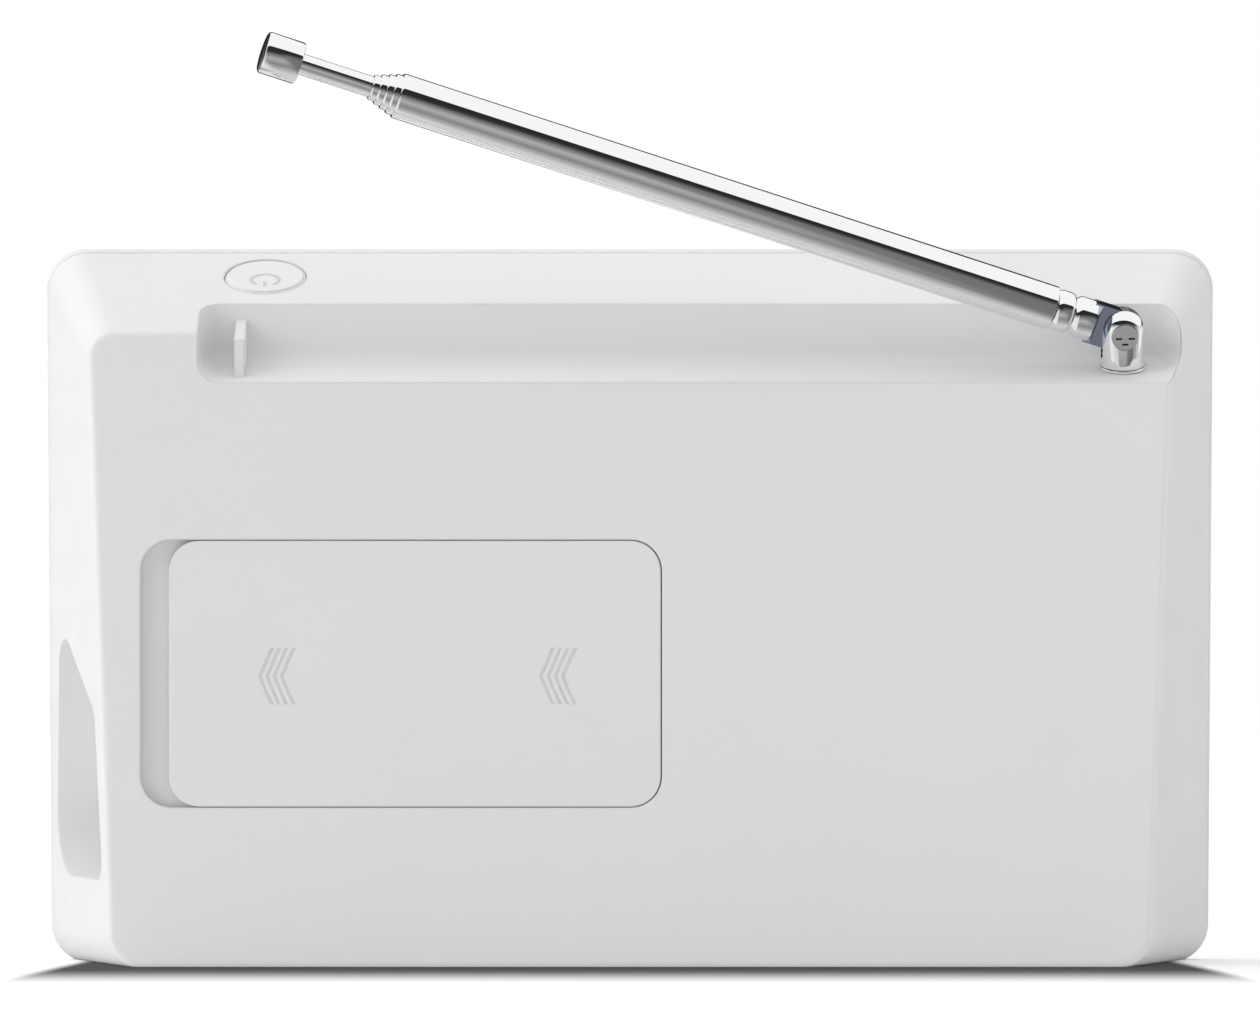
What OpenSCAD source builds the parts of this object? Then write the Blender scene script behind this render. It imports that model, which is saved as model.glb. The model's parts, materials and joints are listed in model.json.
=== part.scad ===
/* [Casing] */
// Width of the front face
front_w = 160.6; // [150:0.2:175]
// Height of the front face, along its slope
front_h = 98.9; // [96:0.1:104]
// Depth of the underside, front to back
base_depth = 35.5; // [34.5:0.1:38]
// How far the front face leans back, degrees
front_lean = 7; // [6:0.5:8]
// How far the back panel leans back, degrees
back_lean = 1.2; // [0:0.1:2]
// Width of the back panel along its top edge
back_w_top = 146.6; // [144:0.2:150]
// Width of the back panel along its bottom edge
back_w_bottom = 141; // [138:0.2:144]
// Height of the back panel
back_h = 85.9; // [85:0.1:88]
// Corner radius of the front face
front_r = 5.4; // [5:0.1:8]
// Radius of the back panel's upper corners
back_r = 3.6; // [3:0.1:6]
// Radius of the back panel's lower corners
back_r_low = 4.8; // [3:0.1:6]
// Wall thickness of the casing
wall = 2; // [1.6:0.1:2.2]
// Thickness of the front cover, which ends at the seam
cover_t = 2.4; // [2.2:0.1:3]

/* [Antenna] */
// Radius of the outermost antenna tube
tube_r = 3.1; // [2.8:0.05:3.1]
// Wall thickness of each antenna tube
tube_wall = 0.25; // [0.2:0.01:0.3]
// Sliding clearance between one tube and the next
tube_gap = 0.086; // [0.06:0.002:0.1]
// Distance from the pivot to the end of the outer tube
tube_end = 104; // [100:0.1:105]
// How far the antenna is swung out of its groove at rest, degrees
swing = 3.8; // [2:0.1:12]
// How far the antenna is raised off the groove floor at rest, degrees
raise = 19.7; // [10:0.1:40]

/* [Controls] */
// Radius of the power button
button_r = 5.55; // [5:0.05:6]
// Radius of the tuning knob
tuning_r = 17; // [14:0.5:18]
// Radius of the volume knob
volume_r = 9; // [7:0.5:10]
// Radius of the speaker grille
grille_r = 31; // [30:0.5:32]

/* [Battery bay] */
// Length of the battery door
door_l = 66.3; // [64:0.1:66.6]
// Height of the battery door
door_h = 35.9; // [34:0.1:36]
// Thickness of the battery door
door_t = 1.6; // [1.4:0.1:1.7]
// How far the door slides before it lifts off
door_travel = 3.8; // [3:0.1:3.9]

/* [Hidden] */

big = 400;                  // larger than the whole object
front_edge = 1.2;           // rounding of the front rim
back_edge = 1.1;            // rounding of the back panel's rim
underside_cut = 0.3;        // planed off the form to leave a flat underside
lip_t = 1.2;                // the front cover's locating lip
lip_depth = 1.8;
fit = 0.15;                 // gap between parts that only locate each other

groove_x = [-74.7, 58.3];   // the antenna groove, from end to end
groove_depth = 8.3;         // in from the back panel
groove_z = 78.9;            // height of the groove floor at the back panel
groove_slope = 19;          // the floor falls towards the back
groove_r = 2.7;             // round corners between its floor, wall and ends
rib_x = 52;                 // the rib that the stowed tip rests on
rib_t = 1.5;

pocket_x = [-4.3, 66];      // the recess that the battery door slides in
pocket_z = [21.5, 57.6];
pocket_depth = 1.9;
pocket_r = 4.2;
bay_x = [2, 56.5];          // the battery compartment inside the recess
bay_z = [24.3, 54.8];
bay_depth = 17.2;
bay_wall = 1.8;
cell_r = 7.1;
cell_l = 50.5;
cell_z = [32.2, 46.9];
cell_depth = 9.8;
hook_x = [6, 47];           // the door's hooks along its long edges
hook_l = 5;

recess_x = 67.5;            // floor of the socket recess in the side wall
socket_z = 17;
jack_depth = 10;            // both in from the back panel
dc_depth = 20.5;
jack_bore_r = 1.78;
dc_bore_r = 2.8;

button_x = 49.85;            // power button, on the sloping top
button_in = 16.2;           // in from the back panel
top_slope = 26;
button_gap = 0.1;
button_flange = 6.6;
plunger_r = 1.5;
switch_drop = 10.2;         // switch board below the top surface

speaker_x = -40;            // speaker, in the front face's frame
speaker_z = 47;
speaker_r = 28.5;
speaker_bolt = 22.8;        // half the side of the speaker's screw square
tuning_x = 42;
tuning_z = 69;
volume_x = 42;
volume_z = 23;
shaft_r = 3;
shaft_fit = 0.1;
board_x = [-8, 63];
board_z = [6, 79];
board_y = 7;                // board's front side, behind the front face
board_t = 1.4;
board_bolts = [[-4, 10], [59, 10], [-4, 75], [59, 75]];
ferrite_y = 11.2;            // the aerial rod inside, behind the front face
ferrite_z = 84;
ferrite_r = 4;
ferrite_saddles = [-50, 14];
casing_bolts = [12, 47];    // x of the screws through the battery bay's floor
casing_bolt_z = 39.55;

post_x = -66.7;             // the antenna's pivot
post_in = 4.5;
post_z = 85.82;
post_r = 3.05;
post_h = (post_z - groove_z - post_in * tan(groove_slope)) * cos(groove_slope);
stem_r = 1.9;
slot_w = 2.2;
tongue_w = 2;
pivot_r = 1;
section = [for (i = [0:5]) tube_r - i * (tube_wall + tube_gap)];
inner_start = [for (i = [0:5]) i == 5 ? 27 : 17 + i];
inner_show = 0.93;          // how far each section stands out of the last one
tip_start = 117.75;
tip_l = 5.2;

white = "whitesmoke";
steel = "silver";

// ---- frames ----

// The front face: y runs in from the face, z up along it
module in_front()
    translate([0, -base_depth / 2, 0]) rotate([-front_lean, 0, 0]) children();

// The back panel: y runs out of the panel, z up along it
module in_back()
    translate([0, base_depth / 2, 0]) rotate([-back_lean, 0, 0]) children();

// The power button: z runs out of the sloping top
module at_button()
    in_back() translate([button_x, -button_in, back_h + button_in * tan(top_slope - back_lean)])
        rotate([back_lean - top_slope, 0, 0]) children();

// The antenna's pivot: z is the swivel axis, square to the groove floor
module at_pivot()
    in_back() translate([post_x, -post_in, post_z]) rotate([-groove_slope, 0, 0]) children();

// The antenna as it stands at rest: z runs from the pivot to the tip
module along_antenna()
    at_pivot() rotate([0, -raise, swing]) rotate([0, 90, 0]) children();

// A cylinder along +y from the origin
module peg(r, l) rotate([-90, 0, 0]) cylinder(r = r, h = l, $fn = 48);

// ---- shared shapes ----

// A disc with a rounded rim on its face, lying on y = 0 and growing to +y
module corner_disc(r, edge, facets)
    rotate([-90, 0, 0]) rotate_extrude($fn = facets)
        polygon(concat([[0, 0]],
            [for (a = [0:15:90]) [r - edge + edge * sin(a), edge - edge * cos(a)]],
            [[r, edge + 0.2], [0, edge + 0.2]]));

// The outside of the casing, or with an inset the space inside its wall
module casing_form(inset, facets) {
    fe = max(front_edge - inset, 0.4);
    be = max(back_edge - inset, 0.4);
    intersection() {
        hull() {
            in_front() for (s = [-1, 1], z = [front_r - underside_cut, front_h - front_r])
                translate([s * (front_w / 2 - front_r), inset, z])
                    corner_disc(front_r - inset, fe, facets);
            in_back() for (s = [-1, 1]) {
                translate([s * (back_w_bottom / 2 - back_r_low), -inset, back_r_low - underside_cut])
                    mirror([0, 1, 0]) corner_disc(back_r_low - inset, be, facets);
                translate([s * (back_w_top / 2 - back_r), -inset, back_h - back_r])
                    mirror([0, 1, 0]) corner_disc(back_r - inset, be, facets);
            }
        }
        translate([-big / 2, -big / 2, inset]) cube(big);
    }
}

// A plate with round corners, its lowest corner at the origin, from y = 0 to y = t
module round_plate(w, h, r, t)
    translate([0, t, 0]) rotate([90, 0, 0]) linear_extrude(t) {
        translate([r, 0]) square([w - 2 * r, h]);
        translate([0, r]) square([w, h - 2 * r]);
        for (x = [r, w - r], z = [r, h - r]) translate([x, z]) circle(r, $fn = 48);
    }

// The antenna groove, a pocket with round inner corners, grown by g for the wall that lines it
module groove_run(g) {
    s = groove_slope;
    inset = groove_r * tan(45 - s / 2);
    foot = [-groove_depth + inset, groove_z + (groove_depth - inset) * tan(s)];
    centre = [-groove_depth + groove_r,
        foot[1] + groove_r * cos(s) - (groove_r * sin(s) - (groove_r - inset)) * tan(s)];
    in_back() hull()
        for (x = [groove_x[0] + groove_r, groove_x[1] - groove_r], out = [0, 40], up = [0, 30])
            translate([x, centre[0] + out * cos(s), centre[1] - out * sin(s) + up])
                rotate([-s, 0, 0]) sphere(r = groove_r + g, $fn = 36);
}

// The socket recess in the side wall, seen from the side, grown by g
module recess_run(g, x0)
    in_back() translate([x0, 0, 0]) rotate([90, 0, 90]) linear_extrude(30)
        hull() {
            translate([-6, 14.5]) circle(3 + g, $fn = 32);
            translate([-20.5, 18.5]) circle(7 + g, $fn = 32);
            translate([-19.6, 39.4]) circle(4.4 + g, $fn = 32);
            translate([-7, 32.5]) circle(3 + g, $fn = 32);
        }

// ---- casing ----

module casing_bosses()
    intersection() {
        in_back() for (x = casing_bolts)
            translate([x, -40, casing_bolt_z]) peg(3, 40 - bay_depth - bay_wall - fit);
        in_front() translate([-big / 2, cover_t - 0.2, -50]) cube([big, 60, 200]);
    }

module rear_shell() color(white)
    difference() {
        intersection() {
            casing_form(0, 48);
            in_front() translate([-big / 2, cover_t, -50]) cube([big, 80, 250]);
        }
        difference() {
            casing_form(wall, 28);
            groove_run(wall);
            in_back() translate([pocket_x[0] - wall, -pocket_depth - wall, pocket_z[0] - wall])
                cube([pocket_x[1] - pocket_x[0] + 2 * wall, 20, pocket_z[1] - pocket_z[0] + 2 * wall]);
            in_back() translate([bay_x[0] - bay_wall, -bay_depth - bay_wall, bay_z[0] - bay_wall])
                cube([bay_x[1] - bay_x[0] + 2 * bay_wall, 30, bay_z[1] - bay_z[0] + 2 * bay_wall]);
            recess_run(wall, recess_x - wall);
            at_pivot() translate([0, 0, -post_h - 5]) cylinder(r = 5, h = 8, $fn = 48);
            at_button() for (s = [-1, 1])
                translate([s * 11, 0, -switch_drop + fit]) cylinder(r = 2.4, h = switch_drop, $fn = 48);
        }
        difference() {
            groove_run(0);
            groove_rib();
        }
        in_back() {
            translate([pocket_x[0], -pocket_depth, pocket_z[0]])
                round_plate(pocket_x[1] - pocket_x[0], pocket_z[1] - pocket_z[0], pocket_r, 10);
            translate([bay_x[0], -bay_depth, bay_z[0]])
                cube([bay_x[1] - bay_x[0], 20, bay_z[1] - bay_z[0]]);
            door_hook_space();
            for (x = casing_bolts) translate([x, -bay_depth - 10, casing_bolt_z]) peg(1.4, 12);
        }
        recess_run(0, recess_x);
        in_back() {
            translate([recess_x - 5, -jack_depth, socket_z]) rotate([0, 90, 0])
                cylinder(r = 2.9, h = 10, $fn = 48);
            translate([recess_x - 5, -dc_depth, socket_z]) rotate([0, 90, 0])
                cylinder(r = 3.7, h = 10, $fn = 48);
        }
        at_button() {
            translate([0, 0, -8]) cylinder(r = button_r + button_gap, h = 12, $fn = 64);
            for (s = [-1, 1]) translate([s * 11, 0, -switch_drop - 1]) cylinder(r = 0.8, h = 7, $fn = 32);
        }
        at_pivot() {
            translate([0, 0, -post_h - 8]) cylinder(r = 2.6, h = 12, $fn = 48);
            translate([0, 0, -post_h]) cylinder(r = 3.4, h = 3.4, $fn = 64);
        }
    }

// The rib near the groove's far end, sloping like the top
module groove_rib()
    in_back() translate([rib_x, 0, 0]) rotate([90, 0, 90]) linear_extrude(rib_t)
        polygon([[-groove_depth - 1, 70], [-2.1, 70], [-2.1, 84.6], [-groove_depth - 1, 87.9]]);

// Room under the pocket's ledge for the door's hooks, with a way in at the open end
module door_hook_space()
    for (x = hook_x, s = [0, 1]) {
        edge = bay_z[s];
        out = s == 0 ? -1 : 1;
        translate([x - fit, -pocket_depth - 3.2, edge - 1.3 + (out > 0 ? 0 : 0.1)])
            cube([hook_l + door_travel + 2 * fit, 1.9, 2.5]);
        translate([x + door_travel - fit, -pocket_depth - 3.2, edge - 1.3 + (out > 0 ? 0 : 0.1)])
            cube([hook_l + 2 * fit, 6, 2.5]);
    }

module front_shell() color(white)
    difference() {
        union() {
            intersection() {
                casing_form(0, 48);
                in_front() translate([-big / 2, -10, -50]) cube([big, 10 + cover_t, 250]);
            }
            difference() {
                intersection() {
                    casing_form(wall + fit, 24);
                    in_front() translate([-big / 2, cover_t - 0.2, -50]) cube([big, lip_depth + 0.2, 250]);
                }
                for (y = [-1.6, 0]) translate([0, y, 0]) casing_form(wall + fit + lip_t, 24);
                recess_run(wall + 0.3, recess_x - wall - 0.3);
                at_button() translate([0, 0, -4.4]) cylinder(r = button_r + 0.35, h = 9, $fn = 64);
            }
            casing_bosses();
            in_front() {
                for (b = board_bolts) translate([b[0], cover_t - 0.2, b[1]]) peg(2.6, board_y - cover_t + 0.2);
                for (sx = [-1, 1], sz = [-1, 1])
                    translate([speaker_x + sx * speaker_bolt, cover_t - 0.2, speaker_z + sz * speaker_bolt])
                        peg(2.4, 1.7);
                for (x = ferrite_saddles)
                    translate([x, cover_t - 0.2, ferrite_z - ferrite_r - 0.6]) cube([3, 9, 3.4]);
            }
        }
        in_front() {
            translate([speaker_x, -1, speaker_z]) peg(speaker_r - 1, 12);
            translate([speaker_x, -1, speaker_z]) peg(grille_r + fit, 2.4);
            for (b = board_bolts) translate([b[0], cover_t, b[1]]) peg(0.8, 12);
            for (sx = [-1, 1], sz = [-1, 1])
                translate([speaker_x + sx * speaker_bolt, 1.6, speaker_z + sz * speaker_bolt]) peg(0.7, 12);
            translate([tuning_x, -1, tuning_z]) peg(tuning_r + 6 + fit, 1.6);
            translate([tuning_x, -1, tuning_z]) peg(shaft_r + shaft_fit, 12);
            translate([volume_x, -1, volume_z]) peg(volume_r + 0.6, 1.6);
            translate([volume_x, -1, volume_z]) peg(shaft_r + shaft_fit, 12);
            translate([-60, ferrite_y, ferrite_z]) rotate([0, 90, 0]) cylinder(r = ferrite_r + 0.03, h = 90, $fn = 48);
        }
        in_back() for (x = casing_bolts) translate([x, -27, casing_bolt_z]) peg(1, 20);
    }

// ---- battery door, cells and contacts ----

// One sunk arrow mark, its point towards +x
module arrow_mark() {
    run = 1.6;
    rise = 3.75;
    bar = 0.45;
    rotate([90, 0, 0]) linear_extrude(1)
        polygon([[0, 0], [-run, rise], [-run - bar, rise], [-bar, 0], [-run - bar, -rise], [-run, -rise]]);
}

module battery_door() color(white) in_back() {
    x0 = pocket_x[0] + fit;
    z0 = pocket_z[0] + (pocket_z[1] - pocket_z[0] - door_h) / 2;
    difference() {
        union() {
            translate([x0, -door_t - 0.1, z0]) round_plate(door_l, door_h, pocket_r - 0.1, door_t);
            for (x = hook_x, s = [0, 1]) {
                inner = s == 0 ? bay_z[0] + 0.3 : bay_z[1] - 1.5;
                foot = s == 0 ? bay_z[0] - 0.8 : bay_z[1] - 1.5;
                translate([x + 0.2, -pocket_depth - 2.9, inner]) cube([hook_l - 0.4, 3.2, 1.2]);
                translate([x + 0.2, -pocket_depth - 2.9, foot]) cube([hook_l - 0.4, 1.1, 2.3]);
            }
        }
        for (x = [50.05, 12.15], i = [0:3])
            translate([x - i * 0.98, 0.65, casing_bolt_z - 0.33]) arrow_mark();
    }
}

module battery_cells() color("steelblue") in_back()
    for (i = [0, 1])
        translate([bay_x[0] + (i == 0 ? 2.9 : 1.1), -cell_depth, cell_z[i]]) rotate([0, 90, 0])
            if (i == 0) {
                cylinder(r = cell_r, h = cell_l - 1.2, $fn = 64);
                cylinder(r = 2.7, h = cell_l, $fn = 48);
            } else {
                translate([0, 0, 1.2]) cylinder(r = cell_r, h = cell_l - 1.2, $fn = 64);
                cylinder(r = 2.7, h = 2, $fn = 48);
            }

// Two cone springs, each a stack of rings that touch
module battery_springs() color(steel) in_back()
    for (i = [0, 1])
        translate([i == 0 ? bay_x[0] + 0.6 : bay_x[1] - 0.6, -cell_depth, cell_z[i]])
            rotate([0, i == 0 ? 90 : -90, 0]) {
                for (k = [0:3]) translate([0, 0, 0.25 + k * 0.5]) rotate_extrude($fn = 48)
                    translate([4.4 - k * 0.35, 0]) circle(0.3, $fn = 16);
            }

module battery_contacts() color(steel) in_back() {
    translate([bay_x[0], -cell_depth - 5, bay_z[0] + 1.5]) cube([0.4, 10, bay_z[1] - bay_z[0] - 3]);
    for (z = cell_z)
        translate([bay_x[1] - 0.4, -cell_depth - 5, z - 5.5]) cube([0.4, 10, 11]);
}

module screw_along_y(head_r, head_h, shank_r, shank_l) {
    difference() {
        peg(head_r, head_h);
        translate([-0.3, head_h - 0.6, -head_r * 0.6]) cube([0.6, 2, head_r * 1.2]);
        translate([-head_r * 0.6, head_h - 0.6, -0.3]) cube([head_r * 1.2, 2, 0.6]);
    }
    translate([0, -shank_l, 0]) peg(shank_r, shank_l);
}

module casing_screws() color(steel) in_back()
    for (x = casing_bolts)
        translate([x, -bay_depth, casing_bolt_z]) screw_along_y(2.3, 0.9, 1, 9);

// ---- speaker ----

module speaker_grille() color("gainsboro") in_front()
    translate([speaker_x, 0, speaker_z]) difference() {
        peg(grille_r, 1.4);
        for (ring = [0:6], i = [0:max(ring * 6 - 1, 0)])
            rotate([0, i * 60 / max(ring, 1), 0]) translate([ring * 4.1, -1, 0]) peg(1.25, 4);
    }

module speaker_cloth() color("dimgray") in_front()
    translate([speaker_x, 1.4, speaker_z]) peg(speaker_r - 1.2, 0.4);

module speaker_basket() color("darkgray") in_front()
    translate([speaker_x, 0, speaker_z]) difference() {
        union() {
            translate([0, cover_t + 0.1, 0]) peg(speaker_r, 1.5);
            rotate([-90, 0, 0]) rotate_extrude($fn = 64)
                polygon([[27, 3.9], [28, 3.9], [16, 15], [15, 15]]);
            translate([0, 14, 0]) peg(16, 1.2);
        }
        peg(speaker_r - 2.2, 4.2);
        translate([0, 10, 0]) peg(7, 10);
        for (a = [0:60:300]) rotate([0, a, 0]) translate([18.5, 8, -4]) cube([8, 4.5, 8]);
    }

module speaker_cone() color("black") in_front()
    translate([speaker_x, 0, speaker_z]) rotate([-90, 0, 0]) rotate_extrude($fn = 64)
        polygon([[0, 4.4], [6, 5.6], [7.5, 10.3], [22, 4.6], [24.6, 4.6], [24.6, 5.1], [22.3, 5.1],
            [7.5, 11], [6.2, 11], [6.2, 14], [5.7, 14], [5.4, 6.2], [0, 5]]);

module speaker_magnet() color("dimgray") in_front()
    translate([speaker_x, 0, speaker_z]) difference() {
        translate([0, 15.2, 0]) peg(15.5, 8);
        translate([0, 15, 0]) peg(7, 5);
    }

module speaker_screws() color(steel) in_front()
    for (sx = [-1, 1], sz = [-1, 1])
        translate([speaker_x + sx * speaker_bolt, cover_t + 1.5, speaker_z + sz * speaker_bolt])
            screw_along_y(3.6, 1, 0.7, 2);

// ---- tuning and volume ----

module dial_plate() color("lightgray") in_front()
    translate([tuning_x, 0, tuning_z]) difference() {
        translate([0, 0.1, 0]) peg(tuning_r + 6, 0.5);
        translate([0, -1, 0]) peg(shaft_r + 1, 4);
    }

// A knob with finger flutes, its face towards -y
module knob(r, h, flutes, flute_r)
    difference() {
        union() {
            translate([0, -h + 1, 0]) peg(r, h - 1.4);
            translate([0, -h, 0]) peg(r - 1, 1);
        }
        for (i = [1:flutes - 1]) rotate([0, i * 360 / flutes, 0])
            translate([0, -h - 1, r + flute_r * 0.55]) peg(flute_r, h + 3);
        translate([-0.4, -h - 0.5, r * 0.45]) cube([0.8, 1, r]);
        translate([0, -h + 2, 0]) peg(shaft_r, h);
    }

module tuning_knob() color(white) in_front()
    translate([tuning_x, 0, tuning_z]) knob(tuning_r, 8, 24, 1.3);

module tuning_shaft() color(steel) in_front()
    translate([tuning_x, -6, tuning_z]) peg(shaft_r, 6 + board_y - 0.4);

module tuning_capacitor() color("beige") in_front()
    translate([tuning_x, 0, tuning_z]) {
        translate([-9, board_y + board_t, -7.2]) cube([18, 7.6, 15]);
        for (sx = [-1, 1]) translate([sx * 6, board_y - 0.4, 0]) peg(0.8, 2);
    }

module volume_knob() color(white) in_front()
    translate([volume_x, 0, volume_z]) knob(volume_r, 7, 20, 0.9);

module volume_shaft() color(steel) in_front()
    translate([volume_x, -5, volume_z]) peg(shaft_r, 5 + board_y - 0.4);

module volume_control() color("darkgray") in_front()
    translate([volume_x, 0, volume_z]) {
        translate([0, board_y + board_t, 0]) peg(8, 4.4);
        for (sx = [-1, 1]) translate([sx * 6, board_y - 0.4, 0]) peg(0.8, 2);
    }

// ---- boards and what they carry ----

module main_board() color("seagreen") in_front()
    difference() {
        translate([board_x[0], board_y, board_z[0]])
            round_plate(board_x[1] - board_x[0], board_z[1] - board_z[0], 2, board_t);
        for (b = board_bolts) translate([b[0], 0, b[1]]) peg(1.1, 20);
        for (z = [tuning_z, volume_z], x = [-6, 6]) translate([tuning_x + x, 0, z]) peg(0.8, 20);
        for (x = casing_bolts) translate([x, 0, casing_bolt_z + 1.75]) peg(3.7, 20);
    }

module receiver_chip() color("dimgray") in_front()
    translate([18, board_y - 1.6, 56]) {
        cube([10, 1.6, 7.5]);
        for (i = [0:6], s = [0, 1]) translate([0.8 + i * 1.27, 1.2, s == 0 ? -1 : 7.5]) cube([0.5, 0.4, 1]);
    }

module amplifier_chip() color("dimgray") in_front()
    translate([4, board_y - 1.6, 20]) {
        cube([6, 1.6, 5]);
        for (i = [0:3], s = [0, 1]) translate([0.8 + i * 1.27, 1.2, s == 0 ? -1 : 5]) cube([0.5, 0.4, 1]);
    }

module capacitors() color("midnightblue") in_front() {
    for (c = [[20, 14, 3.1], [28, 14, 2.5], [2, 12, 2.5], [30, 60, 2]])
        translate([c[0], board_y - 4.3, c[1]]) peg(c[2], 4.3);
    for (c = [[8, 66, 4], [8, 75, 4]])
        translate([c[0], board_y + board_t, c[1]]) peg(c[2], 7);
}

module coil_cans() color(steel) in_front()
    for (x = [18, 27], z = [66, 74.5])
        translate([x - 3.5, board_y + board_t, z - 3.5]) cube([7, 7.5, 7]);

module ferrite_rod() color("dimgray") in_front()
    translate([-55, ferrite_y, ferrite_z]) rotate([0, 90, 0]) cylinder(r = ferrite_r, h = 78, $fn = 48);

module ferrite_coil() color("peru") in_front()
    difference() {
        translate([-38, ferrite_y, ferrite_z]) rotate([0, 90, 0]) cylinder(r = 4.7, h = 26, $fn = 48);
        translate([-60, ferrite_y, ferrite_z]) rotate([0, 90, 0]) cylinder(r = ferrite_r, h = 90, $fn = 48);
    }

module board_screws() color(steel) in_front()
    for (b = board_bolts)
        translate([b[0], board_y + board_t, b[1]]) screw_along_y(2, 1.2, 0.8, 5);

module switch_board() color("seagreen") at_button()
    difference() {
        translate([-14, -3, -switch_drop - 1.2]) cube([28, 7.5, 1.2]);
        for (s = [-1, 1]) translate([s * 11, 0, -switch_drop - 2]) cylinder(r = 1, h = 4, $fn = 32);
    }

module power_switch() color("dimgray") at_button()
    translate([0, 0, -switch_drop]) difference() {
        translate([-3, -3, 0]) cube([6, 6, 3.4]);
        translate([0, 0, 1.2]) cylinder(r = plunger_r + 0.1, h = 4, $fn = 48);
    }

module switch_plunger() color("black") at_button()
    translate([0, 0, -switch_drop + 2.4]) cylinder(r = plunger_r, h = 1.6, $fn = 48);

module switch_screws() color(steel) at_button()
    for (s = [-1, 1])
        translate([s * 11, 0, -switch_drop - 1.2]) rotate([-90, 0, 0]) screw_along_y(1.9, 1, 0.8, 5);

module power_button() color(white) at_button() {
    translate([0, 0, -3.2]) cylinder(r = button_r, h = 3.2, $fn = 64);
    cylinder(r = button_r - 0.35, h = 0.3, $fn = 64);
    translate([0, 0, -4]) cylinder(r = button_r - 0.6, h = 0.9, $fn = 64);
    translate([0, 0, -switch_drop + 4]) cylinder(r = 1.4, h = switch_drop - 7, $fn = 48);
}

// ---- sockets ----

module headphone_jack() color("dimgray") in_back()
    translate([recess_x, -jack_depth, socket_z]) rotate([0, 90, 0]) difference() {
        union() {
            translate([-3, -3, -wall - 11]) cube([6, 6, 11]);
            translate([0, 0, -wall]) cylinder(r = 2.8, h = wall, $fn = 48);
        }
        translate([0, 0, -wall - 9]) cylinder(r = jack_bore_r, h = 14, $fn = 48);
    }

module dc_socket() color("dimgray") in_back()
    translate([recess_x, -dc_depth, socket_z]) rotate([0, 90, 0]) {
        difference() {
            union() {
                translate([-4, -4.2, -wall - 10]) cube([8, 8.4, 10]);
                translate([0, 0, -wall]) cylinder(r = 3.6, h = wall, $fn = 48);
            }
            translate([0, 0, -wall - 8]) cylinder(r = dc_bore_r, h = 14, $fn = 48);
        }
        translate([0, 0, -wall - 8.2]) cylinder(r = 0.65, h = wall + 7.4, $fn = 24);
    }

// ---- antenna ----

module antenna_collar() color(steel) at_pivot()
    translate([0, 0, -post_h]) difference() {
        union() {
            cylinder(r = 3.3, h = 0.35, $fn = 64);
            translate([0, 0, -4.9]) cylinder(r = 2.55, h = 5, $fn = 48);
        }
        translate([0, 0, -6]) cylinder(r = stem_r + 0.06, h = 8, $fn = 48);
    }

module antenna_post() color(steel) at_pivot() rotate([0, 0, swing])
    difference() {
        union() {
            translate([0, 0, 0.4 - post_h]) cylinder(r = post_r, h = post_h, $fn = 64);
            translate([0, 0, 0.4]) sphere(r = post_r, $fn = 64);
            translate([0, 0, -post_h - 5.6]) cylinder(r = stem_r, h = 6.2, $fn = 48);
        }
        translate([-5, -slot_w / 2, -3.45]) cube([10, slot_w, 12]);
        translate([0, -4, 0]) peg(pivot_r, 8);
        translate([0, 2.3, 0]) peg(1.8, 3);
        translate([0, 0, -post_h - 6]) cylinder(r = 0.8, h = 5, $fn = 32);
    }

module antenna_pivot_screw() color(steel) at_pivot() rotate([0, 0, swing]) {
    difference() {
        translate([0, 2.3, 0]) peg(1.75, 0.62);
        for (c = [[-0.87, -0.17], [0.87, -0.17], [0, -0.98]])
            translate([c[0] - 0.43, 2.5, c[1] - 0.13]) cube([0.86, 1, 0.26]);
    }
    translate([0, -2.5, 0]) peg(pivot_r, 4.8);
}

module antenna_contact() color("gold") at_pivot()
    translate([0, 0, -post_h - 6.1]) difference() {
        union() {
            cylinder(r = 3.6, h = 0.4, $fn = 48);
            translate([0, -1.2, 0]) cube([9, 2.4, 0.4]);
        }
        translate([0, 0, -1]) cylinder(r = 1, h = 3, $fn = 32);
    }

module antenna_mount_screw() color(steel) at_pivot()
    translate([0, 0, -post_h - 6.2]) rotate([-90, 0, 0]) screw_along_y(2.4, 1.2, 0.8, 4.2);

// Flat tongue in the post's slot, then a turned ferrule with two grooves
module antenna_knuckle() color(steel) along_antenna() {
    difference() {
        union() {
            translate([-2.85, -tongue_w / 2, 0]) cube([5.7, tongue_w, 5]);
            rotate([90, 0, 0]) cylinder(r = 2.85, h = tongue_w, center = true, $fn = 64);
            intersection() {
                translate([0, 0, 3.5]) cylinder(r = 2.85, h = 1.4, $fn = 72);
                rotate([90, 0, 90]) linear_extrude(6, center = true)
                    polygon([[1, 3.9], [2.9, 4.6], [2.9, 5], [-2.9, 5], [-2.9, 4.6], [-1, 3.9]]);
            }
        }
        rotate([90, 0, 0]) cylinder(r = pivot_r + 0.06, h = 8, center = true, $fn = 48);
    }
    rotate_extrude($fn = 72)
        polygon([[0, 4.6], [2.85, 4.6], [2.88, 5], [2.88, 6.6], [2.76, 7.05], [2.5, 7.3], [2.42, 7.45],
            [2.5, 7.6], [2.76, 7.8], [2.9, 8.15], [2.92, 8.7], [2.9, 9.5], [2.74, 9.95], [2.55, 10.2],
            [2.5, 10.4], [2.5, 10.7], [2.84, 11], [2.84, 15.5], [0, 15.5]]);
}

module antenna_tube_1() color(steel) along_antenna()
    rotate_extrude($fn = 96) tube_profile(section[0], 10.3, tube_end);

// Section i of the telescope, with its end standing a little out of the last one
module inner_tube(i)
    along_antenna() rotate_extrude($fn = 64)
        tube_profile(section[i], inner_start[i], tube_end + i * inner_show);

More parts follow.
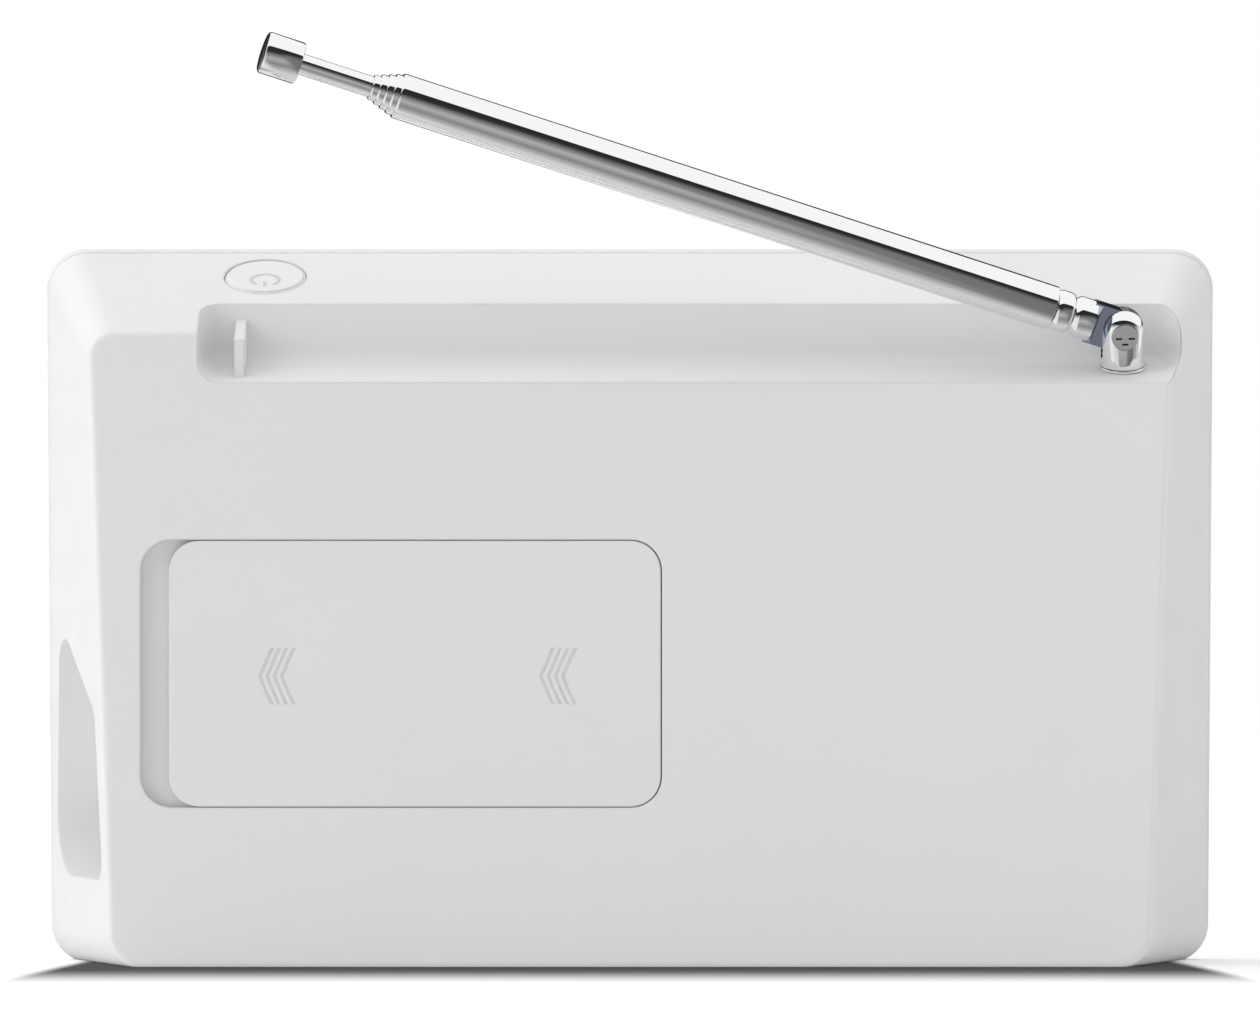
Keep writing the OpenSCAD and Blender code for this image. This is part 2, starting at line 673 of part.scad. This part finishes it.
// A tube's wall with its outer edge rolled in at both ends
module tube_profile(r, start, end)
    polygon([[r - tube_wall, start], [r - 0.12, start], [r - 0.035, start + 0.05], [r, start + 0.18],
        [r, end - 0.3], [r - 0.035, end - 0.1], [r - 0.12, end], [r - tube_wall, end]]);

module antenna_tube_2() color(steel) inner_tube(1);
module antenna_tube_3() color(steel) inner_tube(2);
module antenna_tube_4() color(steel) inner_tube(3);
module antenna_tube_5() color(steel) inner_tube(4);

module antenna_rod() color(steel) along_antenna()
    translate([0, 0, inner_start[5]]) cylinder(r = section[5], h = tip_start - inner_start[5], $fn = 48);

module antenna_tip() color(steel) along_antenna()
    translate([0, 0, tip_start]) rotate_extrude($fn = 64)
        polygon([[0, 0], [2.6, 0], [2.77, 0.07], [2.86, 0.28], [2.86, tip_l - 0.4], [2.76, tip_l - 0.14],
            [2.5, tip_l], [0, tip_l]]);

rear_shell();
front_shell();
battery_door();
speaker_grille();
speaker_cloth();
speaker_basket();
speaker_cone();
speaker_magnet();
speaker_screws();
dial_plate();
tuning_knob();
tuning_shaft();
tuning_capacitor();
volume_knob();
volume_shaft();
volume_control();
main_board();
receiver_chip();
amplifier_chip();
capacitors();
coil_cans();
ferrite_rod();
ferrite_coil();
board_screws();
power_button();
switch_plunger();
power_switch();
switch_board();
switch_screws();
headphone_jack();
dc_socket();
battery_cells();
battery_springs();
battery_contacts();
casing_screws();
antenna_collar();
antenna_post();
antenna_pivot_screw();
antenna_mount_screw();
antenna_contact();
antenna_knuckle();
antenna_tube_1();
antenna_tube_2();
antenna_tube_3();
antenna_tube_4();
antenna_tube_5();
antenna_rod();
antenna_tip();
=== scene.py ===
"""A white tabletop radio, seen from behind: its looks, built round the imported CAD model."""
import json
import math

import bmesh
import bpy
from mathutils import Matrix, Vector


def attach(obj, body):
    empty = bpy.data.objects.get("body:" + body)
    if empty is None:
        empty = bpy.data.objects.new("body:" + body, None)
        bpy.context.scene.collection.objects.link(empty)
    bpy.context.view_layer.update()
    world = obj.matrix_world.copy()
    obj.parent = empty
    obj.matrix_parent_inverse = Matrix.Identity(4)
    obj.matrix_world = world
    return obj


MM = 0.001
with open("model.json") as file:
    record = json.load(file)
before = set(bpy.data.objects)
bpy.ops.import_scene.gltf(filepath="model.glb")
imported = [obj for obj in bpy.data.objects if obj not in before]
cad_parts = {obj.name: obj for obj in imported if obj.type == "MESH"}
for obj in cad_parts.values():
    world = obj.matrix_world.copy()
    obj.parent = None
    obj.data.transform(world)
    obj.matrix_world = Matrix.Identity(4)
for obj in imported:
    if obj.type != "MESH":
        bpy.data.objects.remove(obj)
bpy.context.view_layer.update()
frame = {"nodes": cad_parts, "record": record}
nodes = frame["nodes"]
joints = {j["name"]: j for j in frame["record"]["behaviour"]["joints"]}


# ---- places, taken from the frame ----

def place(origin, x_axis, y_axis, z_axis):
    """The matrix of a set of axes at a point, for geometry drawn in millimetres."""
    m = Matrix((x_axis, y_axis, z_axis)).transposed().to_4x4()
    m.translation = origin
    return m @ Matrix.Scale(MM, 4)


def joint_axis(name):
    return Vector(joints[name]["axis"]).normalized()


def joint_point(name):
    return Vector(joints[name]["pos_m"])


pivot = joint_point("antenna_fold")
along = joint_axis("antenna_slide_2")
across = -joint_axis("antenna_fold")
front_normal = joint_axis("tuning_turn")
press_axis = joint_axis("power_button_press")
RIGHT = Vector((1, 0, 0))


# ---- node helpers ----

def new_material(name):
    mat = bpy.data.materials.new(name)
    mat.use_nodes = True
    return mat, mat.node_tree, mat.node_tree.nodes["Principled BSDF"]


def add_node(tree, kind, **settings):
    node = tree.nodes.new(kind)
    for key, value in settings.items():
        if key in node.inputs:
            node.inputs[key].default_value = value
        else:
            setattr(node, key, value)
    return node


def noise(tree, scale, detail=3.0, roughness=0.5, stretch=(1, 1, 1)):
    """Noise in object space, scale in waves per metre."""
    coords = add_node(tree, "ShaderNodeTexCoord")
    mapping = add_node(tree, "ShaderNodeMapping", Scale=stretch)
    tree.links.new(coords.outputs["Object"], mapping.inputs["Vector"])
    tex = add_node(tree, "ShaderNodeTexNoise", Scale=scale, Detail=detail, Roughness=roughness)
    tree.links.new(mapping.outputs["Vector"], tex.inputs["Vector"])
    return tex.outputs["Fac"]


def ramp(tree, source, low, high, low_at=0.3, high_at=0.7):
    node = add_node(tree, "ShaderNodeMapRange")
    node.inputs["From Min"].default_value = low_at
    node.inputs["From Max"].default_value = high_at
    node.inputs["To Min"].default_value = low
    node.inputs["To Max"].default_value = high
    tree.links.new(source, node.inputs["Value"])
    return node.outputs["Result"]


def blend_colour(tree, factor, dark, light):
    node = add_node(tree, "ShaderNodeMix", data_type="RGBA")
    for socket in node.inputs:
        if socket.name == "A" and socket.type == "RGBA":
            socket.default_value = (*dark, 1)
        if socket.name == "B" and socket.type == "RGBA":
            socket.default_value = (*light, 1)
    tree.links.new(factor, node.inputs["Factor"])
    return [s for s in node.outputs if s.type == "RGBA"][0]


def colour_ramp(tree, source, stops, interpolation="LINEAR"):
    node = add_node(tree, "ShaderNodeValToRGB")
    node.color_ramp.interpolation = interpolation
    points = node.color_ramp.elements
    while len(points) > 1:
        points.remove(points[-1])
    points[0].position, points[0].color = stops[0][0], (stops[0][1],) * 3 + (1,)
    for at, value in stops[1:]:
        points.new(at).color = (value,) * 3 + (1,)
    tree.links.new(source, node.inputs["Fac"])
    return node.outputs["Color"]


def math_node(tree, operation, a, b=None):
    node = add_node(tree, "ShaderNodeMath", operation=operation)
    for socket, value in zip(node.inputs, (a, b)):
        if value is None:
            continue
        if isinstance(value, (int, float)):
            socket.default_value = value
        else:
            tree.links.new(value, socket)
    return node.outputs[0]


def bump(tree, bsdf, source, strength, height_mm, edge_mm=0.0):
    """Fine relief, and with edge_mm the soft highlight of a moulded edge of that radius."""
    node = add_node(tree, "ShaderNodeBump", Strength=strength, Distance=height_mm * MM)
    tree.links.new(source, node.inputs["Height"])
    if edge_mm:
        rounded = add_node(tree, "ShaderNodeBevel", samples=6, Radius=edge_mm * MM)
        tree.links.new(rounded.outputs["Normal"], node.inputs["Normal"])
    tree.links.new(node.outputs["Normal"], bsdf.inputs["Normal"])


# ---- materials ----

def moulded(name, dark, light, rough=(0.42, 0.52), grain_mm=0.25, grain=0.12, edge_mm=0.0):
    """Moulded plastic: a spark-eroded grain, faint flow shading and slightly uneven gloss."""
    mat, tree, bsdf = new_material(name)
    tree.links.new(blend_colour(tree, noise(tree, 45, 4), dark, light), bsdf.inputs["Base Color"])
    tree.links.new(ramp(tree, noise(tree, 160, 5), *rough), bsdf.inputs["Roughness"])
    bump(tree, bsdf, noise(tree, 1 / (grain_mm * MM), 2), grain, 0.02, edge_mm)
    bsdf.inputs["Specular IOR Level"].default_value = 0.4
    return mat


def plated(name, colour, rough, scratch=0.03):
    """Bright plating with fine drawing lines and a little uneven polish."""
    mat, tree, bsdf = new_material(name)
    bsdf.inputs["Metallic"].default_value = 1
    tree.links.new(blend_colour(tree, noise(tree, 120, 3), [c * 0.96 for c in colour], colour),
                   bsdf.inputs["Base Color"])
    tree.links.new(ramp(tree, noise(tree, 260, 4), *rough), bsdf.inputs["Roughness"])
    bump(tree, bsdf, noise(tree, 900, 3, 0.6, (0.06, 1, 1)), scratch, 0.004)
    return mat


def worn_metal(name, colour, rough=(0.28, 0.45)):
    """Dull plated metal with patchy wear."""
    mat, tree, bsdf = new_material(name)
    bsdf.inputs["Metallic"].default_value = 1
    tree.links.new(blend_colour(tree, noise(tree, 400, 5), [c * 0.88 for c in colour], colour),
                   bsdf.inputs["Base Color"])
    tree.links.new(ramp(tree, noise(tree, 700, 4), *rough), bsdf.inputs["Roughness"])
    bump(tree, bsdf, noise(tree, 2500, 3), 0.15, 0.01)
    return mat


white = moulded("casing_white", (0.80, 0.805, 0.81), (0.83, 0.833, 0.833), edge_mm=0.55)
door_white = moulded("door_white", (0.80, 0.805, 0.81), (0.83, 0.833, 0.833), edge_mm=0.3)
control_white = moulded("control_white", (0.81, 0.812, 0.815), (0.84, 0.84, 0.84),
                        rough=(0.36, 0.46), edge_mm=0.2)
chrome = plated("antenna_chrome", (0.93, 0.93, 0.94), rough=(0.006, 0.014), scratch=0.002)
knuckle_chrome = plated("knuckle_chrome", (0.45, 0.48, 0.60), rough=(0.08, 0.14))
steel = worn_metal("plated_steel", (0.62, 0.63, 0.65))
nickel = worn_metal("nickel", (0.72, 0.70, 0.66), rough=(0.2, 0.32))
dark_plastic = moulded("black_plastic", (0.02, 0.02, 0.022), (0.035, 0.035, 0.038),
                       rough=(0.4, 0.55))
beige_plastic = moulded("beige_plastic", (0.58, 0.54, 0.43), (0.66, 0.62, 0.5), rough=(0.4, 0.5))
green_board = moulded("solder_mask", (0.02, 0.16, 0.07), (0.03, 0.22, 0.1),
                      rough=(0.2, 0.32), grain=0.05)
copper = worn_metal("enamelled_copper", (0.75, 0.36, 0.18), rough=(0.2, 0.3))
ferrite = moulded("ferrite", (0.045, 0.045, 0.05), (0.09, 0.09, 0.095), rough=(0.55, 0.75))
paper_black = moulded("cone_paper", (0.015, 0.015, 0.015), (0.04, 0.04, 0.04),
                      rough=(0.75, 0.9), grain=0.5)
cloth = moulded("dust_cloth", (0.012, 0.012, 0.013), (0.03, 0.03, 0.03),
                rough=(0.85, 0.95), grain=0.8)
dial_ink = moulded("dial_ink", (0.10, 0.10, 0.105), (0.14, 0.14, 0.145),
                   rough=(0.4, 0.5), grain=0.04)
symbol_grey = moulded("symbol_grey", (0.60, 0.60, 0.61), (0.65, 0.65, 0.655),
                      rough=(0.4, 0.5), grain=0.04)
grille_paint = moulded("grille_paint", (0.60, 0.61, 0.62), (0.66, 0.665, 0.67),
                       rough=(0.4, 0.55), grain=0.25)
jacket = moulded("cell_jacket", (0.05, 0.12, 0.28), (0.08, 0.18, 0.36),
                 rough=(0.25, 0.35), grain=0.03)
dial_grey = moulded("dial_grey", (0.70, 0.705, 0.71), (0.74, 0.745, 0.75),
                    rough=(0.3, 0.4), grain=0.05)

NODE_MATERIALS = {
    "rear_shell": white, "front_shell": white, "battery_door": door_white,
    "power_button": control_white, "tuning_knob": control_white, "volume_knob": control_white,
    "speaker_grille": grille_paint, "speaker_cloth": cloth, "speaker_basket": steel,
    "speaker_cone": paper_black, "speaker_magnet": ferrite, "speaker_screws": steel,
    "dial_plate": dial_grey, "tuning_shaft": steel, "volume_shaft": steel,
    "tuning_capacitor": beige_plastic, "volume_control": dark_plastic, "main_board": green_board,
    "receiver_chip": dark_plastic, "amplifier_chip": dark_plastic, "capacitors": dark_plastic,
    "coil_cans": steel, "ferrite_rod": ferrite, "ferrite_coil": copper, "board_screws": steel,
    "switch_plunger": dark_plastic, "power_switch": dark_plastic, "switch_board": green_board,
    "switch_screws": steel, "headphone_jack": dark_plastic, "dc_socket": dark_plastic,
    "battery_cells": jacket, "battery_springs": nickel, "battery_contacts": nickel,
    "casing_screws": steel, "antenna_collar": chrome, "antenna_post": chrome,
    "antenna_pivot_screw": chrome, "antenna_mount_screw": steel, "antenna_contact": nickel,
    "antenna_knuckle": knuckle_chrome, "antenna_tube_1": chrome, "antenna_tube_2": chrome,
    "antenna_tube_3": chrome, "antenna_tube_4": chrome, "antenna_tube_5": chrome,
    "antenna_rod": chrome, "antenna_tip": chrome,
}
for node_name, obj in nodes.items():
    obj.data.materials.clear()
    obj.data.materials.append(NODE_MATERIALS[node_name])

# the knuckle's flat tongue is a duller, bluer plating than its turned ferrule
TONGUE_END = 4.55 * MM
knuckle = nodes["antenna_knuckle"].data
knuckle.materials.append(chrome)
for poly in knuckle.polygons:
    poly.material_index = int((poly.center - pivot).dot(along) > TONGUE_END)


# ---- edges of the CAD parts ----

EDGE_ANGLE = math.radians(35)   # sharper edges than this stay edges
WELD_DISTANCE = 0.002 * MM
FLAT_ANGLE = math.radians(0.4)


def soften(name, width_mm):
    """Cleans a CAD node's surface with modifiers, and rounds its edges to a given width."""
    obj = nodes[name]
    obj.modifiers.new("weld", "WELD").merge_threshold = WELD_DISTANCE
    flat = obj.modifiers.new("flat", "DECIMATE")
    flat.decimate_type = "DISSOLVE"
    flat.angle_limit = FLAT_ANGLE
    for poly in obj.data.polygons:
        poly.use_smooth = True
    if width_mm:
        round_off = obj.modifiers.new("round_off", "BEVEL")
        round_off.width = width_mm * MM
        round_off.segments = 3
        round_off.limit_method = "ANGLE"
        round_off.angle_limit = EDGE_ANGLE
        obj.modifiers.new("normals", "WEIGHTED_NORMAL").keep_sharp = True
    else:
        obj.modifiers.new("split", "EDGE_SPLIT").split_angle = EDGE_ANGLE


# edge rounding of the nodes that have it, in millimetres
ROUNDED = {"rear_shell": 0.3, "battery_door": 0.14, "power_button": 0.12, "speaker_grille": 0.1,
           "tuning_knob": 0.3, "volume_knob": 0.3, "antenna_post": 0.08, "antenna_collar": 0.1}
for node_name in nodes:
    soften(node_name, ROUNDED.get(node_name, 0.0))

# painted shade: the faces inside the three slots of the plated pivot screw get the black plastic,
# standing in for the shade that falls in the slots
SLOT_FLOOR, SCREW_FACE, SLOT_REACH = 2.3 * MM, 2.9 * MM, 1.66 * MM
screw = nodes["antenna_pivot_screw"].data
screw.materials.append(dark_plastic)
for poly in screw.polygons:
    offset = poly.center - pivot
    depth = offset.dot(across)
    if SLOT_FLOOR < depth < SCREW_FACE and (offset - across * depth).length < SLOT_REACH:
        poly.material_index = 1


# ---- print and marks ----

def prism(bm, outline, bottom, top):
    """A flat plate with that outline, in millimetres."""
    lower = [bm.verts.new((x, y, bottom)) for x, y in outline]
    upper = [bm.verts.new((x, y, top)) for x, y in outline]
    bm.faces.new(lower[::-1])
    bm.faces.new(upper)
    for i in range(len(outline)):
        j = (i + 1) % len(outline)
        bm.faces.new((lower[i], lower[j], upper[j], upper[i]))


def arc(r, half, start, end, steps=40):
    """The outline of part of a ring; angles in degrees from +y, clockwise."""
    angles = [math.radians(start + (end - start) * i / steps) for i in range(steps + 1)]
    outer = [((r + half) * math.sin(a), (r + half) * math.cos(a)) for a in angles]
    inner = [((r - half) * math.sin(a), (r - half) * math.cos(a)) for a in reversed(angles)]
    return outer + inner


def tick(r0, r1, half, degrees):
    """The outline of a radial bar from r0 to r1."""
    a = math.radians(degrees)
    out, side = Vector((math.sin(a), math.cos(a))), Vector((math.cos(a), -math.sin(a)))
    corners = ((r0, -half), (r0, half), (r1, half), (r1, -half))
    return [tuple(out * r + side * s) for r, s in corners]


def add_number(bm, text, size, x, y, bottom, top):
    curve = bpy.data.curves.new("number", "FONT")
    curve.body, curve.size = text, size
    curve.align_x, curve.align_y = "CENTER", "CENTER"
    curve.extrude = (top - bottom) / 2
    curve.resolution_u = 4
    obj = bpy.data.objects.new("number", curve)
    bpy.context.collection.objects.link(obj)
    depsgraph = bpy.context.evaluated_depsgraph_get()
    mesh = bpy.data.meshes.new_from_object(obj.evaluated_get(depsgraph))
    mesh.transform(Matrix.Translation((x, y, (top + bottom) / 2)))
    bm.from_mesh(mesh)
    bpy.data.objects.remove(obj)
    bpy.data.meshes.remove(mesh)


def add_piece(name, bm, where, material, body):
    mesh = bpy.data.meshes.new(name)
    bmesh.ops.recalc_face_normals(bm, faces=bm.faces)
    bm.to_mesh(mesh)
    bm.free()
    mesh.transform(where)
    mesh.materials.append(material)
    obj = bpy.data.objects.new(name, mesh)
    bpy.context.collection.objects.link(obj)
    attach(obj, body)
    return obj


def top_centre(name, normal):
    """The middle of a node's outermost face in that direction."""
    points = [v.co for v in nodes[name].data.vertices]
    reach = max(p.dot(normal) for p in points)
    face = [p for p in points if p.dot(normal) > reach - 0.01 * MM]
    low = Vector([min(p[i] for p in face) for i in range(3)])
    high = Vector([max(p[i] for p in face) for i in range(3)])
    return (low + high) / 2


def add_standby_symbol():
    """A ring open towards the back, with a short bar in the gap."""
    out = -press_axis
    where = place(top_centre("power_button", out), RIGHT, out.cross(RIGHT), out)
    bm = bmesh.new()
    centre_y = 1.45
    for outline in (arc(1.9, 0.24, 38, 322), tick(0.7, 2.2, 0.22, 0)):
        prism(bm, [(x, y + centre_y) for x, y in outline], -0.02, 0.05)
    add_piece("standby_symbol", bm, where, symbol_grey, "button")


def add_front_print():
    """Station numbers round the tuning knob, steps round the volume knob, and their pointers."""
    up = front_normal.cross(RIGHT)
    tuning = place(joint_point("tuning_turn"), RIGHT, up, front_normal)
    volume = place(joint_point("volume_turn"), RIGHT, up, front_normal)

    bm = bmesh.new()
    first, sweep = -110, 220
    number_r, number_size = 20.9, 2.3
    printed = (-0.12, -0.07)
    numbers = ("88", "92", "96", "100", "104", "108")
    for i, number in enumerate(numbers):
        a = math.radians(first + sweep / 5 * i)
        add_number(bm, number, number_size, number_r * math.sin(a), number_r * math.cos(a), *printed)
    for i in range(51):
        end, half = (19.3, 0.1) if i % 5 == 0 else (18.6, 0.06)
        prism(bm, tick(17.9, end, half, first + sweep / 50 * i), *printed)
    add_piece("dial_numbers", bm, tuning, dial_ink, "casing")

    bm = bmesh.new()
    for i in range(11):
        prism(bm, tick(11.0, 12.2 + 0.06 * i, 0.12 + 0.012 * i, -135 + 27 * i), -0.02, 0.03)
    add_piece("volume_marks", bm, volume, dial_ink, "casing")

    pointers = (("tuning_pointer", tuning, 7.55, 17, "tuning_dial"),
                ("volume_pointer", volume, 6.55, 9, "volume_dial"))
    for name, where, reach, r, body in pointers:
        bm = bmesh.new()
        prism(bm, tick(r * 0.47, r - 1.1, 0.34, 0), reach - 0.1, reach)
        add_piece(name, bm, where, dial_ink, body)


add_standby_symbol()
add_front_print()


# ---- floor, light and camera ----

# strengths of the soft light, by where it comes from
LIGHT = {"all": 0.01, "plus_x": 2.25, "minus_x": 1.0, "zenith": 1.4}


def make_floor():
    """Pale paper. The contact shadow on it is painted, for the camera's own rays."""
    mesh = bpy.data.meshes.new("floor")
    bm = bmesh.new()
    bmesh.ops.create_grid(bm, x_segments=2, y_segments=2, size=6)
    bm.to_mesh(mesh)
    bm.free()
    floor = bpy.data.objects.new("floor", mesh)
    bpy.context.collection.objects.link(floor)
    mat, tree, bsdf = new_material("floor_paper")
    paper = blend_colour(tree, noise(tree, 3, 2), (0.93, 0.93, 0.93), (0.95, 0.95, 0.95))
    split = add_node(tree, "ShaderNodeSeparateXYZ")
    tree.links.new(add_node(tree, "ShaderNodeTexCoord").outputs["Object"], split.inputs[0])
    narrowing = math_node(tree, "MULTIPLY", split.outputs[1], 0.078)
    sideways = math_node(tree, "SUBTRACT", math_node(tree, "ABSOLUTE", split.outputs[0]), narrowing)
    across_x = ramp(tree, sideways, 0, 1, 0.0733, 0.0775)
    towards_y = ramp(tree, split.outputs[1], 0, 1, 0.0178, 0.098)
    away_y = ramp(tree, math_node(tree, "MULTIPLY", split.outputs[1], -1.0), 0, 1, 0.02, 0.05)
    squares = [math_node(tree, "POWER", part, 2.0) for part in (across_x, towards_y, away_y)]
    total = math_node(tree, "ADD", math_node(tree, "ADD", squares[0], squares[1]), squares[2])
    distance = math_node(tree, "POWER", total, 0.5)
    shade = colour_ramp(tree, distance, [(0.1, 0.06), (0.9, 1.0)], "EASE")
    path = add_node(tree, "ShaderNodeLightPath")
    seen = add_node(tree, "ShaderNodeMixRGB")
    tree.links.new(path.outputs["Is Camera Ray"], seen.inputs[0])
    tree.links.new(paper, seen.inputs[1])
    tree.links.new(shade, seen.inputs[2])
    tree.links.new(seen.outputs[0], bsdf.inputs["Base Color"])
    tree.links.new(shade, bsdf.inputs["Emission Color"])
    tree.links.new(math_node(tree, "MULTIPLY", path.outputs["Is Camera Ray"], 0.06),
                   bsdf.inputs["Emission Strength"])
    bsdf.inputs["Roughness"].default_value = 0.8
    bsdf.inputs["Specular IOR Level"].default_value = 0.1
    mesh.materials.append(mat)
    floor.visible_glossy = False
    return floor


def make_world():
    """A white studio. Matt surfaces get soft light from above and from both sides, more from +X;
    mirrors see a panel overhead, a dark room at eye level, a card to each side and a pale table."""
    world = bpy.data.worlds.new("studio")
    bpy.context.scene.world = world
    world.use_nodes = True
    tree = world.node_tree
    tree.nodes.clear()
    coords = add_node(tree, "ShaderNodeTexCoord")
    split = add_node(tree, "ShaderNodeSeparateXYZ")
    tree.links.new(coords.outputs["Generated"], split.inputs[0])
    x, y, z = split.outputs

    wide_band = ramp(tree, z, 1, 0, 0.5, 0.9)
    from_plus_x, from_minus_x = (ramp(tree, x, 0, 1, 0.2 * side, 0.9 * side) for side in (1, -1))
    parts = [(LIGHT["all"], 1.0),
             (LIGHT["plus_x"], math_node(tree, "MULTIPLY", wide_band, from_plus_x)),
             (LIGHT["minus_x"], math_node(tree, "MULTIPLY", wide_band, from_minus_x)),
             (LIGHT["zenith"], ramp(tree, z, 0, 1, 0.5, 0.95))]
    total = 0.0
    for strength, part in parts:
        total = math_node(tree, "ADD", total, math_node(tree, "MULTIPLY", part, strength))

    turn = math_node(tree, "DIVIDE", math_node(tree, "ARCTAN2", z, y), 2 * math.pi)
    turn = math_node(tree, "FRACT", math_node(tree, "ADD", turn, 1.25))
    # pale table, its shaded far part, a grey card, the dark room, then the panel overhead
    around = colour_ramp(tree, turn, [
        (0.0, 0.7), (0.12, 0.25), (0.19, 0.45), (0.28, 0.03), (0.356, 0.02),
        (0.358, 1.0), (0.648, 1.0), (0.652, 0.02), (0.86, 0.02), (0.9, 0.6), (1.0, 0.7)])
    bearing = math_node(tree, "DIVIDE", math_node(tree, "ARCTAN2", x, y), 2 * math.pi)
    bearing = math_node(tree, "ADD", bearing, 0.5)
    # a bright card to each side, with dark gaps between them
    sideways = colour_ramp(tree, bearing, [
        (0.0, 0.05), (0.1, 0.1), (0.2, 1.0), (0.35, 0.15), (0.45, 0.2), (0.6, 0.8), (0.7, 0.9),
        (0.85, 0.3), (1.0, 0.05)])
    level = ramp(tree, z, 1, 0, 0.0, 0.3)
    off_axis = ramp(tree, math_node(tree, "ABSOLUTE", x), 0, 1, 0.22, 0.42)
    beside = math_node(tree, "MULTIPLY", off_axis, level)
    mirror_view = add_node(tree, "ShaderNodeMixRGB")
    tree.links.new(beside, mirror_view.inputs[0])
    tree.links.new(around, mirror_view.inputs[1])
    tree.links.new(sideways, mirror_view.inputs[2])

    path = add_node(tree, "ShaderNodeLightPath")
    seen = add_node(tree, "ShaderNodeMixRGB")
    tree.links.new(path.outputs["Is Glossy Ray"], seen.inputs[0])
    tree.links.new(total, seen.inputs[1])
    tree.links.new(mirror_view.outputs[0], seen.inputs[2])
    final = add_node(tree, "ShaderNodeMixRGB")
    tree.links.new(path.outputs["Is Camera Ray"], final.inputs[0])
    tree.links.new(seen.outputs[0], final.inputs[1])
    final.inputs[2].default_value = (1, 1, 1, 1)
    background = add_node(tree, "ShaderNodeBackground")
    tree.links.new(final.outputs[0], background.inputs["Color"])
    out = add_node(tree, "ShaderNodeOutputWorld")
    tree.links.new(background.outputs[0], out.inputs["Surface"])


def make_camera():
    """A long lens, low down and square to the back panel."""
    data = bpy.data.cameras.new("camera")
    data.sensor_width = 36
    data.lens = 237.25
    data.clip_start, data.clip_end = 0.05, 20
    cam = bpy.data.objects.new("camera", data)
    bpy.context.collection.objects.link(cam)
    cam.location = (0, 1.1383, 0.0372)
    cam.rotation_euler = (math.radians(91.2593), 0, math.pi)
    bpy.context.scene.camera = cam


make_floor()
make_world()
make_camera()
scene = bpy.context.scene
scene.view_settings.view_transform = "Standard"
scene.view_settings.look = "None"
